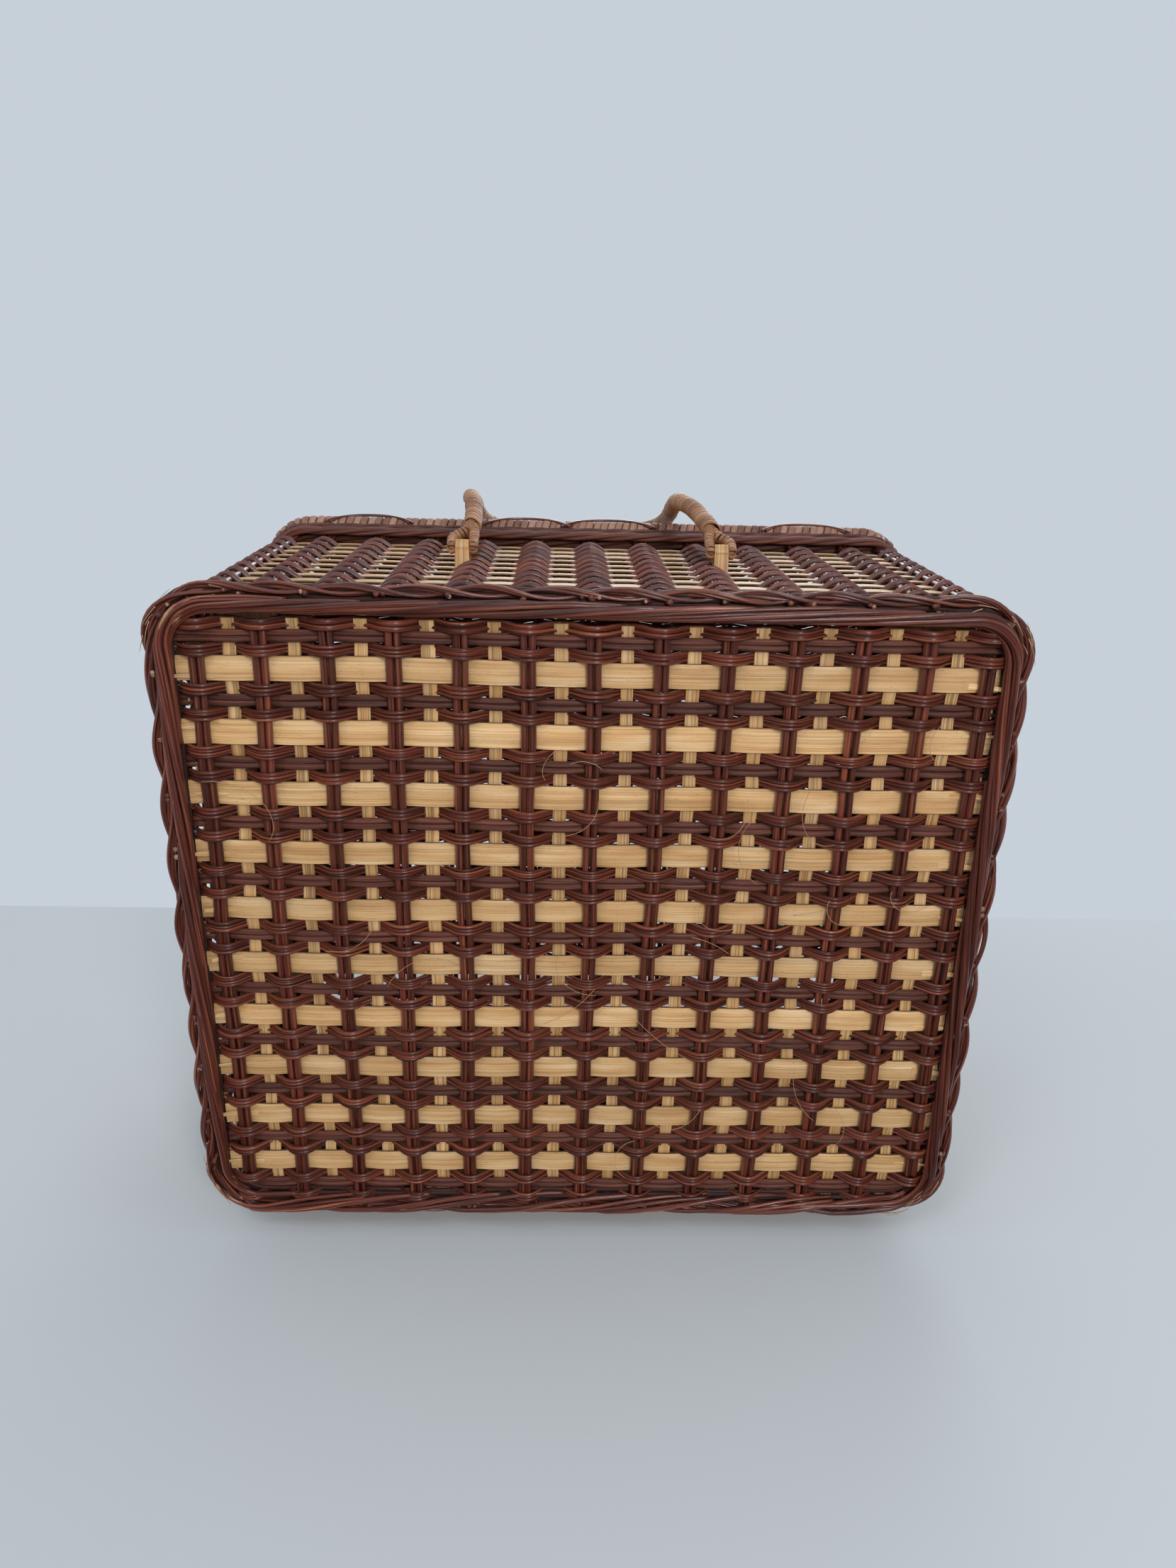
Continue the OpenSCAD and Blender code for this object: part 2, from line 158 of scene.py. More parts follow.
class Strands:
    """Strands that become one mesh, with lengthwise UVs in millimetres, a tone each and wear. The wear
    values also carry painted seam shade on slat edges, and the tone painted shade in hollows.
    """

    def __init__(self, seed):
        self.rng = np.random.default_rng(seed)
        self.verts, self.faces, self.uvs, self.tones, self.wear_and_edge_shade_corners = [], [], [], [], []
        self.count = 0

    def drift(self, share, amount, cycles):
        """A smooth random wander of about amount. It closes on itself if cycles is whole."""
        wander = np.zeros(np.shape(share))
        for part in (1, 2, 4):
            wander = wander + np.sin(TAU * (part * cycles * share + self.rng.random())) / part
        return amount * wander / 1.4

    def add(self, path, out, section, closed=False, scale=1.0, tone=None, wear=0.0, cut=0.6,
            edge_shaded_sides=()):
        """Sweeps section along path with its +Y towards out. Scale and wear may vary by ring. Edge-shaded
        sides get full value, which the bamboo paints as dark seam shade.
        """
        rings, sides = len(path), len(section)
        ahead = np.roll(path, -1, 0) - np.roll(path, 1, 0)
        if not closed:
            ahead[0], ahead[-1] = path[1] - path[0], path[-1] - path[-2]
        ahead /= np.linalg.norm(ahead, axis=1, keepdims=True)
        side = np.cross(ahead, np.broadcast_to(out, path.shape))
        side /= np.linalg.norm(side, axis=1, keepdims=True)
        up = np.cross(side, ahead)
        grown = section[None] * np.broadcast_to(scale, rings)[:, None, None]
        shape = path[:, None] + grown[..., :1] * side[:, None] + grown[..., 1:] * up[:, None]
        index = self.count + np.arange(rings * sides).reshape(rings, sides)
        here = index if closed else index[:-1]
        there = np.roll(index, -1, 0) if closed else index[1:]
        faces = np.stack([here, there, np.roll(there, -1, 1), np.roll(here, -1, 1)], 2)

        steps = np.linalg.norm(np.roll(path, -1, 0) - path, axis=1)
        u = np.concatenate([[0], np.cumsum(steps)])[:len(here) + 1] + self.rng.uniform(0, 900)
        edges = np.linalg.norm(np.roll(section, -1, 0) - section, axis=1)
        v = np.concatenate([[0], np.cumsum(edges)]) + self.rng.uniform(0, 900)
        u0, v0 = np.meshgrid(u[:-1], v[:-1], indexing="ij")
        u1, v1 = np.meshgrid(u[1:], v[1:], indexing="ij")
        uvs = np.stack([u0, v0, u1, v0, u1, v1, u0, v1], 2).reshape(-1, 4, 2)
        worn = np.broadcast_to(wear, rings)
        ends = np.stack([worn[:len(here)], np.roll(worn, -1)[:len(here)]], 1)
        wear_and_edge_shade_corners = np.repeat(ends[:, None], sides, 1)[..., [0, 1, 1, 0]]
        # Painted shade: these sides get full value, which the bamboo draws as dark seam shade between slats.
        wear_and_edge_shade_corners[:, list(edge_shaded_sides)] = 1.0
        wear_and_edge_shade_corners = wear_and_edge_shade_corners.reshape(-1, 4)

        parts = [faces.reshape(-1, 4)]
        if not closed:
            half = range(sides // 2 - 1)
            first = [(j, j + 1, sides - 2 - j, sides - 1 - j) for j in half]
            caps = np.array([index[0][list(q)] for q in first]
                            + [index[-1][list(q)][::-1] for q in first])
            parts.append(caps)
            uvs = np.concatenate([uvs, np.full((len(caps), 4, 2), u[0])])
            wear_and_edge_shade_corners = np.concatenate([wear_and_edge_shade_corners, np.full((len(caps), 4), cut)])
        self.verts.append(shape.reshape(-1, 3))
        self.faces.append(np.concatenate(parts))
        self.uvs.append(uvs)
        self.wear_and_edge_shade_corners.append(wear_and_edge_shade_corners)
        tone = self.rng.uniform(-1, 1) if tone is None else tone
        self.tones.append(np.full(wear_and_edge_shade_corners.shape, tone))
        self.count += rings * sides

    def build(self, name, look, replaces, body="basket", crisp=False):
        """Makes the mesh object, puts it under its body and hides the CAD nodes it replaces."""
        material, slot = look
        verts, faces = np.concatenate(self.verts) / MM, np.concatenate(self.faces)
        mesh = bpy.data.meshes.new(name)
        mesh.vertices.add(len(verts))
        mesh.vertices.foreach_set("co", verts.ravel())
        mesh.loops.add(faces.size)
        mesh.loops.foreach_set("vertex_index", faces.ravel())
        mesh.polygons.add(len(faces))
        mesh.polygons.foreach_set("loop_start", np.arange(0, faces.size, 4))
        mesh.polygons.foreach_set("use_smooth", np.ones(len(faces), bool))
        mesh.update(calc_edges=True)
        layer = mesh.uv_layers.new(name="strand")
        layer.uv.foreach_set("vector", np.concatenate(self.uvs).ravel())
        for label, values in (("tone", self.tones), ("wear", self.wear_and_edge_shade_corners)):
            data = mesh.attributes.new(label, "FLOAT", "CORNER")
            data.data.foreach_set("value", np.concatenate(values).ravel())
        if crisp:
            mesh.set_sharp_from_angle(angle=math.radians(40))
        mesh.materials.append(material)
        piece = put_in_scene(name, mesh)
        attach(piece, body)
        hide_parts(*replaces)


class Loop:
    """A rounded rectangle, walked anticlockwise from the middle of the front side."""

    def __init__(self, half_x, half_y, radius, centre=(0.0, 0.0)):
        self.radius, self.centre = radius, np.array([*centre, 0.0])
        a, b, bend = half_x - radius, half_y - radius, radius * math.pi / 2
        self.marks = np.cumsum([0, a, bend, 2 * b, bend, 2 * a, bend, 2 * b, bend, a])
        self.x = [0, a, a, a, a, -a, -a, -a, -a, 0]
        self.y = [-b, -b, -b, b, b, b, b, -b, -b, -b]
        self.angle = np.radians([-90, -90, 0, 0, 90, 90, 180, 180, 270, 270])
        self.length = self.marks[-1]
        middles = (self.marks[1:] + self.marks[:-1]) / 2
        self.corners = middles[[1, 3, 5, 7]]
        self.sides = np.array([0, *middles[[2, 4, 6]]])     # the middles of front, right, back, left

    def at(self, where, out=0.0, z=0.0):
        """Points out from the loop at the distances where, and the directions out there."""
        where = np.mod(where, self.length)
        angle = np.interp(where, self.marks, self.angle)
        normal = np.stack([np.cos(angle), np.sin(angle), np.zeros_like(angle)], 1)
        x = np.interp(where, self.marks, self.x) + normal[:, 0] * (self.radius + out)
        y = np.interp(where, self.marks, self.y) + normal[:, 1] * (self.radius + out)
        return np.stack([x, y, np.broadcast_to(z, x.shape)], 1) + self.centre, normal

    def corner_share(self, where, reach):
        """1 at the middle of a corner, falling to 0 over about reach."""
        apart = [np.abs(np.mod(where - c + self.length / 2, self.length) - self.length / 2)
                 for c in self.corners]
        return np.exp(-(np.min(apart, axis=0) / reach) ** 2)


def put_in_scene(name, data):
    """A new object in the scene, made of the data."""
    made = bpy.data.objects.new(name, data)
    bpy.context.scene.collection.objects.link(made)
    return made


def round_the_loop(loop, step):
    """Distances along a whole loop, about step apart, and the same as shares of the loop."""
    count = int(loop.length / step)
    share = np.arange(count) / count
    return share * loop.length, share


# ---- Materials ----

def srgb(red, green, blue):
    """The linear colour of an 8-bit screen colour."""
    c = np.array([red, green, blue]) / 255
    linear = np.where(c <= 0.04045, c / 12.92, ((c + 0.055) / 1.055) ** 2.4)
    return (*linear.tolist(), 1.0)


class Finish:
    """A material under construction, for a slot, with short calls for its nodes."""

    def __init__(self, name, slot=None):
        self.slot = slot
        self.material = bpy.data.materials.new(name)
        self.material.use_nodes = True
        self.tree = self.material.node_tree
        self.shader = self.tree.nodes["Principled BSDF"]

    def make(self, kind, inputs, **settings):
        node = self.tree.nodes.new(kind)
        for key, value in settings.items():
            setattr(node, key, value)
        for key, value in inputs.items():
            self.feed(node.inputs[key], value)
        return node

    def feed(self, socket, value):
        if isinstance(value, bpy.types.NodeSocket):
            self.tree.links.new(value, socket)
        else:
            socket.default_value = value

    def strand_space(self, along, across):
        """Coordinates that follow the strand, scaled along and across it."""
        uv = self.make("ShaderNodeUVMap", {}, uv_map="strand")
        return self.make("ShaderNodeMapping", {0: uv.outputs[0], 3: (along, across, 1)}).outputs[0]

    def noise(self, vector, scale=1.0, detail=3.0):
        return self.make("ShaderNodeTexNoise",
                         {"Vector": vector, "Scale": scale, "Detail": detail}).outputs[0]

    def attribute(self, name):
        return self.make("ShaderNodeAttribute", {}, attribute_name=name).outputs["Fac"]

    def spread(self, value, low, high, to_low=0.0, to_high=1.0):
        """Value from the range low to high, spread over the range to_low to to_high, clamped."""
        return self.make("ShaderNodeMapRange", {0: value, 1: low, 2: high, 3: to_low,
                                                4: to_high}).outputs[0]

    def maths(self, operation, a, b):
        return self.make("ShaderNodeMath", {0: a, 1: b}, operation=operation).outputs[0]

    def blend(self, share, a, b, mode="MIX"):
        node = self.make("ShaderNodeMix", {0: share, 6: a, 7: b}, data_type="RGBA",
                         blend_type=mode)
        return node.outputs[2]

    def ramp(self, value, stops):
        node = self.make("ShaderNodeValToRGB", {0: value})
        steps = node.color_ramp.elements
        steps[0].position, steps[0].color = stops[0]
        steps[1].position, steps[1].color = stops[-1]
        for place, colour in stops[1:-1]:
            steps.new(place).color = colour
        return node.outputs[0]

    def shade(self, colour, level, share=1.0):
        """The colour multiplied by a grey level, as far as share says."""
        grey = self.make("ShaderNodeCombineColor", {0: level, 1: level, 2: level}).outputs[0]
        return self.blend(share, colour, grey, "MULTIPLY")

    def toned(self, colour, amount):
        """The colour, darker or lighter by the strand's own tone from -1 to 1, and painted darker as shade
        below that, down to -3.
        """
        level = self.spread(self.attribute("tone"), -3, 1, 1 - 3 * amount, 1 + amount)
        return self.shade(colour, level)

    def bared(self, colour, amount, full, pale):
        """The colour, rubbed to a pale one in patches, and more so where the strand is worn."""
        patch = self.noise(self.strand_space(0.12, 0.8), detail=4)
        level = self.maths("ADD", self.maths("MULTIPLY", self.attribute("wear"), amount), patch)
        return self.blend(self.spread(level, 0.84, full), colour, pale)

    def done(self, colour, gloss_by, roughness, height, relief, coat=(0.0, 0.03)):
        """The look: a material and the slot it fills.

        Roughness is given where gloss_by is low and high, relief in millimetres of bump, and the
        coat as its weight and its roughness.
        """
        bump = self.make("ShaderNodeBump", {"Height": height, "Distance": relief / MM})
        for key, value in (("Base Color", colour), ("Normal", bump.outputs[0]),
                           ("Roughness", self.spread(gloss_by, 0.3, 0.7, *roughness)),
                           ("Coat Weight", coat[0]), ("Coat Roughness", coat[1])):
            self.feed(self.shader.inputs[key], value)
        return self.material, self.slot


def lacquered_reed():
    """Split reed under brown lacquer: long light and dark streaks, worn to pale fibre."""
    f = Finish("lacquered reed", "dark_reed")
    streak = f.noise(f.strand_space(0.012, 0.9), detail=4)
    fibre = f.noise(f.strand_space(0.06, 5.0), detail=2)
    colour = f.ramp(streak, [(0.33, srgb(46, 15, 10)), (0.47, srgb(88, 36, 24)),
                             (0.58, srgb(118, 54, 35)), (0.72, srgb(150, 84, 50))])
    colour = f.shade(f.toned(colour, 0.3), f.spread(fibre, 0.35, 0.65, 0.8, 1.12))
    colour = f.bared(colour, 0.55, 0.94, srgb(184, 140, 100))
    return f.done(colour, streak, (0.45, 0.3), fibre, 0.25, (0.6, 0.16))


def matte_reed():
    """Unlacquered dark reed, duller and more even."""
    f = Finish("matte reed", "matte_reed")
    streak = f.noise(f.strand_space(0.02, 1.2), detail=4)
    fibre = f.noise(f.strand_space(0.08, 6.0), detail=2)
    colour = f.ramp(streak, [(0.3, srgb(60, 26, 18)), (0.5, srgb(96, 44, 28)),
                             (0.72, srgb(126, 68, 44))])
    colour = f.bared(f.toned(colour, 0.2), 0.5, 0.96, srgb(170, 132, 104))
    return f.done(colour, fibre, (0.7, 0.5), fibre, 0.3, (0.12, 0.35))


def bamboo():
    """Pale bamboo slats with fine grain lines, soft blotches, small flecks, and narrow edges painted dark as
    the shade in the seams between them.
    """
    f = Finish("bamboo", "bamboo")
    grain = f.noise(f.strand_space(0.006, 4.2), detail=4)
    bands = f.noise(f.strand_space(0.004, 0.9), detail=3)
    broad = f.noise(f.strand_space(0.02, 0.16), detail=3)
    colour = f.ramp(broad, [(0.3, srgb(202, 148, 90)), (0.5, srgb(220, 170, 112)),
                            (0.7, srgb(234, 192, 140))])
    colour = f.shade(colour, f.spread(grain, 0.36, 0.58, 0.62, 1.06), 0.85)
    colour = f.shade(colour, f.spread(bands, 0.36, 0.56, 0.76, 1.04), 0.85)
    fleck = f.spread(f.noise(f.strand_space(0.3, 2.6), detail=1), 0.69, 0.74)
    colour = f.blend(f.maths("MULTIPLY", fleck, 0.6), colour, srgb(112, 66, 36))
    # Painted shade: slat edges are drawn dark brown, standing in for the shade in the seams between slats.
    colour = f.blend(f.maths("MULTIPLY", f.attribute("wear"), 0.85), colour, srgb(72, 40, 22))
    return f.done(f.toned(colour, 0.11), grain, (0.6, 0.42), grain, 0.12, (0.08, 0.3))


def cane():
    """Narrow peeled cane with a few dark lines along it."""
    f = Finish("cane", "cane")
    line = f.noise(f.strand_space(0.004, 1.1), detail=3)
    broad = f.noise(f.strand_space(0.03, 0.3), detail=3)
    colour = f.ramp(broad, [(0.3, srgb(178, 128, 76)), (0.5, srgb(198, 150, 94)),
                            (0.7, srgb(214, 172, 122))])
    colour = f.shade(colour, f.spread(line, 0.4, 0.5, 0.45, 1.0), 0.85)
    return f.done(f.toned(colour, 0.12), line, (0.55, 0.4), line, 0.2, (0.1, 0.3))


def wrapping(name, low, middle, high):
    """Tight cane wrapping: each turn has its own shade, with fine fibre along it."""
    f = Finish(name, "wrapping")
    fibre = f.noise(f.strand_space(0.05, 2.4), detail=4)
    colour = f.ramp(f.spread(f.attribute("tone"), -1, 1), [(0.0, low), (0.5, middle), (1.0, high)])
    colour = f.shade(colour, f.spread(fibre, 0.32, 0.62, 0.7, 1.08), 0.8)
    return f.done(colour, fibre, (0.6, 0.42), fibre, 0.25, (0.12, 0.3))


def bare_rod():
    """The rods under the wrapping, seen only between its turns."""
    f = Finish("bare rod")
    place = f.make("ShaderNodeTexCoord", {}).outputs["Object"]
    mottle = f.noise(place, scale=180, detail=4)
    colour = f.ramp(mottle, [(0.3, srgb(88, 58, 40)), (0.7, srgb(132, 92, 64))])
    return f.done(colour, mottle, (0.7, 0.5), mottle, 0.3)


LACQUERED = lacquered_reed()
MATTE = matte_reed()
BAMBOO = bamboo()
CANE = cane()
RIM_CANE = wrapping("rim wrapping", srgb(116, 72, 54), srgb(150, 104, 82), srgb(176, 132, 110))
HANDLE_CANE = wrapping("handle wrapping", srgb(136, 88, 56), srgb(160, 110, 74),
                       srgb(176, 128, 92))


# ---- Woven mats: the base, and the lid, which is the same weave seen from above ----

UNEVEN = 0.7            # how far the hand-made weave wanders from an even grid
CLOSER = 2.0            # how much nearer the outermost stake columns stand to the next ones


def half_span(off, half_length, half_side, radius):
    """Half the length of a strand that lies off from the middle of a rounded rectangle."""
    past = off - (half_side - radius)
    if past <= 0:
        return half_length
    return half_length - radius + math.sqrt(max(0.0, radius ** 2 - past ** 2))


def centred(count, step=PITCH):
    return (np.arange(count) - (count - 1) / 2) * step


def over_columns(along, columns):
    """1 where a strand passes a stake column, 0 midway, a little flat at both ends."""
    shift = 0.0 if columns % 2 else 0.5
    swing = np.cos(TAU * (along / PITCH + shift))
    return 0.5 + 0.5 * swing * (1.15 - 0.15 * swing ** 2)


class Mat:
    """A rectangular mat. Depth is measured inwards from its outside face."""

    def __init__(self, name, body, columns, rows, radius, tuck, seed):
        self.name, self.body, self.seed = name, body, seed
        self.columns, self.rows = columns, rows
        self.radius, self.tuck = radius, tuck
        is_base = name == "base"
        self.half_x, self.half_y = box_mm(f"{name}_slats")[1][0], box_mm(f"{name}_stakes")[1][1]
        self.outside = box_mm(f"{name}_weavers")[0 if is_base else 1][2]
        self.inwards = 1 if is_base else -1
        self.out = -self.inwards * UP
        self.reed_rows = rows + 1 if is_base else rows - 1
        self.strip_columns = columns - 1 if is_base else columns + 1

    def place(self, x, y, depth):
        x, y, depth = np.broadcast_arrays(x, y, depth)
        past = np.clip((np.abs(x) - (self.columns - 3) / 2 * PITCH) / PITCH, 0, 1)
        away_x = UNEVEN * np.sin(x / 47 + 1.3 + np.sin(y / 39)) * np.cos(y / 53 + 0.4)
        away_y = UNEVEN * np.cos(x / 41 + 2.1) * np.sin(y / 59 + 0.9 + np.sin(x / 37))
        x = x - np.sign(x) * CLOSER * past + away_x
        return np.stack([x, y + away_y, self.outside + self.inwards * depth], 1)

    def reach_x(self, y):
        return half_span(abs(y), self.half_x, self.half_y, self.radius) + self.tuck[0]

    def reach_y(self, x):
        return half_span(abs(x), self.half_y, self.half_x, self.radius) + self.tuck[1]

    def stakes(self):
        """Pairs of stout glossy reeds, on the outside of the slats."""
        strands = Strands(self.seed)
        gap = 1.83
        for x in centred(self.columns):
            reach = self.reach_y(abs(x) + 2 * gap)
            y, share = span(reach, 130)
            rows = over_columns(y, self.reed_rows)
            pair = x + strands.drift(share, 0.35, 1.5)
            for s in (-1, 1):
                apart = gap + strands.rng.uniform(-0.15, 0.2) + strands.drift(share, 0.14, 3)
                depth = 3.35 + 0.15 * rows + s * strands.drift(share, 0.25, 2)
                section = round_section(strands.rng.uniform(1.6, 1.84), 12, 0.035)
                scale = 1 + strands.drift(share, 0.045, 4)
                strands.add(self.place(pair + s * apart, y, depth), self.out, section, scale=scale)
        return strands

    def slats(self):
        """Wide bamboo slats behind the stakes, bowed out a little between them."""
        strands = Strands(self.seed + 1)
        for y in centred(self.rows):
            reach = self.reach_x(abs(y) + 5)
            x, share = span(reach, 160)
            depth = 5.75 - 0.8 * (1 - over_columns(x, self.columns))
            wide = 12.2 + strands.rng.uniform(-0.4, 0.3)
            path = self.place(x, y + strands.drift(share, 0.18, 2), depth)
            tilt = np.array([0, strands.rng.uniform(-0.03, 0.03), 0])
            # The slat's narrow sides are marked for painted seam shade.
            strands.add(path, self.out + tilt, flat_section(wide, 1.0, 0.22), cut=0.0,
                        edge_shaded_sides=FLAT_EDGES)
        if self.name == "base":
            self.slivers(strands)
        return strands

    def slivers(self, strands):
        """Split ends of slats that lie over the inside of the border."""
        rng = strands.rng
        share = np.linspace(0, 1, 16)
        for y in centred(self.rows):
            for s in (-1, 1):
                start = self.reach_x(abs(y) + 5) - rng.uniform(17, 20)
                x = s * (start + share * rng.uniform(15, 21))
                across = y + rng.uniform(-4.2, 4.2) + share * rng.uniform(-1.2, 1.2)
                path = self.place(x, across, 4.7 - rng.uniform(1.5, 4.2) * share ** 3)
                strands.add(path, self.out, flat_section(rng.uniform(1.4, 3.6), 0.5, 0.05, 0.1),
                            scale=1 - 0.4 * share ** 3, cut=0.0)

    def strips(self):
        """Narrow cane strips across the back of the slats and reeds, midway between the stakes."""
        strands = Strands(self.seed + 2)
        for x in centred(self.strip_columns):
            reach = self.reach_y(abs(x) + 2)
            y, share = span(reach, 150)
            depth = mixed(5.9, 7.4, over_columns(y, self.reed_rows))
            wide = strands.rng.uniform(5.6, 6.7)
            path = self.place(x + strands.drift(share, 0.35, 2), y, depth)
            strands.add(path, self.out, flat_section(wide, 0.75, 0.1, 0.2), cut=0.0)
        return strands

    def cross_reeds(self):
        """Pairs of dull reeds between the slat rows, behind the stakes."""
        strands = Strands(self.seed + 3)
        gap = 1.5
        for y in centred(self.reed_rows):
            for s in (-1, 1):
                reach = self.reach_x(y + 2 * s * gap)
                x, share = span(reach, 150)
                depth = 6.5 - 1.0 * (1 - over_columns(x, self.columns))
                path = self.place(x, y + s * gap + strands.drift(share, 0.18, 4), depth)
                scale = 1 + strands.drift(share, 0.05, 5)
                strands.add(path, self.out, round_section(1.55, 10, 0.03), scale=scale)
        return strands

    def weavers(self):
        """Thin glossy weavers: over each stake pair, then under the next strip, beside the reeds."""
        strands = Strands(self.seed + 4)
        for y in centred(self.reed_rows):
            for s in (-1, 1):
                self.weaver_band(strands, y, s)
        return strands

    def weaver_band(self, strands, y, s):
        count = strands.rng.choice([2, 3, 3, 3, 3, 4])
        radius = 2.95 / (count + 0.15)
        reach = self.reach_x(abs(y + s * 6))
        x = np.arange(-reach, reach, PITCH / 14)
        share = x / (2 * reach) + 0.5
        over = over_columns(x, self.columns)
        for k in range(count):
            spread = 3.15 + radius + 2 * radius * k
            pinched = mixed(3.3 + radius, 8.7 - radius, k / (count - 1))
            under = 8.3 + (0.8 if k % 2 else 0.0)
            path = self.place(
                x, y + s * mixed(pinched, spread, over) + strands.drift(share, 0.16, 6),
                mixed(under, 0.55, over) + strands.drift(share, 0.12, 9))
            strands.add(path, self.out, round_section(radius, 8),
                        scale=1 + strands.drift(share, 0.05, 7))

    def build(self):
        """All five layers, each in the place of its CAD node."""
        layers = (
            ("stakes", self.stakes(), LACQUERED, False),
            ("slats", self.slats(), BAMBOO, True),
            ("strips", self.strips(), CANE, True),
            ("cross_reeds", self.cross_reeds(), MATTE, False),
            ("weavers", self.weavers(), LACQUERED, False),
        )
        for label, strands, look, crisp in layers:
            node = f"{self.name}_{label}"
            strands.build(f"{node}_woven", look, [node], self.body, crisp)


# ---- Foot border: an inner roll of long strands, a hollow with painted shade on the hoops deep inside, and an open outer braid ----

# Painted shade: the strands hidden deep inside the border are drawn this much darker.
HOLLOW_PAINTED_SHADE = -3.0      # the shade of the strands that are hidden deep inside
ROLL_STEP = 36.0        # between the strands of the inner roll
FOOT_SHIFT = 4.0        # how far the border lies forward of the rim's middle
BORDER = Loop(FOOT[0] - 2.5, FOOT[1] - 12.0, 24.0, (-1.5, -FOOT_SHIFT))


def on_roll(where, angle, reach, out, z):
    """Points and outward directions on a roll: away from the basket at 0, down at -90 degrees."""
    path, normal = BORDER.at(where, out + reach * np.cos(angle), z + reach * np.sin(angle))
    return path, turned(normal, UP, angle)


class Lay(NamedTuple):
    """How the strands lie in one stretch of the border's roll."""
    lengths: tuple
    reeds: list         # how many may lie side by side
    sweep: float        # the angle that a strand turns through
    reach: float        # the radius of the roll
    out: float          # the middle of the roll, from the border's line
    z: float


LONG_LAY = Lay((135, 170), [1, 1, 1, 2], 2.35, 3.4, -2.6, 5.0)
STEEP_LAY = Lay((95, 120), [1, 2], 2.9, 4.8, 0.2, 6.4)
STEEP_FROM, STEEP_TO = -230, 150    # where steep strands start, from the middle of the back


def border_roll():
    """Stout strands that rise inside the border and run slowly over its underside to the hollow."""
    strands = Strands(30)
    rng = strands.rng
    groups = round(BORDER.length / ROLL_STEP)
    share = np.linspace(0, 1, 56)
    for group in range(groups):
        start = BORDER.length * (group + rng.uniform(-0.22, 0.22)) / groups
        steep = STEEP_FROM < start - BORDER.sides[2] < STEEP_TO
        lay = STEEP_LAY if steep else LONG_LAY
        where = start + share * rng.uniform(*lay.lengths)
        reeds = rng.choice(lay.reeds)
        radius = rng.uniform(1.35, 1.75) if reeds == 1 else rng.uniform(0.95, 1.15)
        turn = rng.uniform(-0.2, 0.2)
        for k in range(reeds):
            angle = math.pi - 0.1 + (share - 0.05 * np.sin(TAU * share)) * lay.sweep + turn + 0.55 * k
            reach = lay.reach + strands.drift(share, 0.3, 1.5)
            reach = reach - 1.3 * np.clip((share - 0.86) / 0.14, 0, 1)
            path, out = on_roll(where, angle, reach, lay.out, lay.z)
            wear = BORDER.corner_share(where, 12) * rng.uniform(0, 0.45) + rng.uniform(0, 0.3)
            scale = 0.72 + 0.28 * np.sin(math.pi * share) ** 0.4
            scale = scale * (1 + strands.drift(share, 0.06, 3))
            strands.add(path, out, round_section(radius, 9, 0.06), scale=scale, wear=wear)
    return strands


def border_braid():
    """Two bundles of thin strands that swing in and out and leave lens-shaped gaps."""
    strands = Strands(32)
    where, share = round_the_loop(BORDER, 3)
    swings = round(BORDER.length / (2 * PITCH))
    for side in (0.0, 0.5):
        for k in range(3):
            phase = TAU * (swings * share + side) + 0.3 * k + strands.drift(share, 0.3, 3)
            sway = (2.3, 2.0, 1.2)[k] + strands.drift(share, 0.4, 5)
            out = (4.0, 3.6, 3.2)[k] + sway * np.sin(phase)
            z = (7.0, 7.6, 9.0)[k] + 1.5 * np.cos(phase) + strands.drift(share, 0.5, 4)
            path, normal = BORDER.at(where, out, z)
            strands.add(path, normal - UP, round_section(strands.rng.uniform(0.85, 1.05), 8, 0.06),
                        closed=True, scale=1 + strands.drift(share, 0.12, 11), wear=0.15)
    return strands


def border_core():
    """Hoops deep inside the border, painted dark as shade, and the cut ends of the stakes that show in its
    hollow.
    """
    strands = Strands(31)
    rng = strands.rng
    where, share = round_the_loop(BORDER, 5)
    hoops = [(-6.0, 13.9), (-4.4, 15.4), (-5.2, 9.5), (-3.0, 8.2), (-2.8, 11.4), (-0.6, 9.6),
             (0.4, 12.0), (1.7, 9.6), (3.0, 11.6), (4.2, 9.4)]
    for out, z in hoops:
        path, normal = BORDER.at(where, out + strands.drift(share, 0.6, 9), z + strands.drift(share, 0.4, 7))
        # Painted shade: these hoops are drawn much darker, as if in the hollow's shadow.
        strands.add(path, normal, round_section(1.35, 6), closed=True, tone=HOLLOW_PAINTED_SHADE)
    rise = np.linspace(0, 1, 4)
    for spot in np.arange(0, BORDER.length, PITCH):
        for _ in range(2):
            lean = rng.uniform(-4, 4)
            path, normal = BORDER.at(spot + rng.uniform(-4, 4) + lean * rise,
                                     rng.uniform(0.4, 2.2) + 0.8 * rise, mixed(10, 4.6, rise))
            strands.add(path, normal, round_section(rng.uniform(0.9, 1.5), 8, 0.1), wear=0.4,
                        cut=0.7)
    return strands


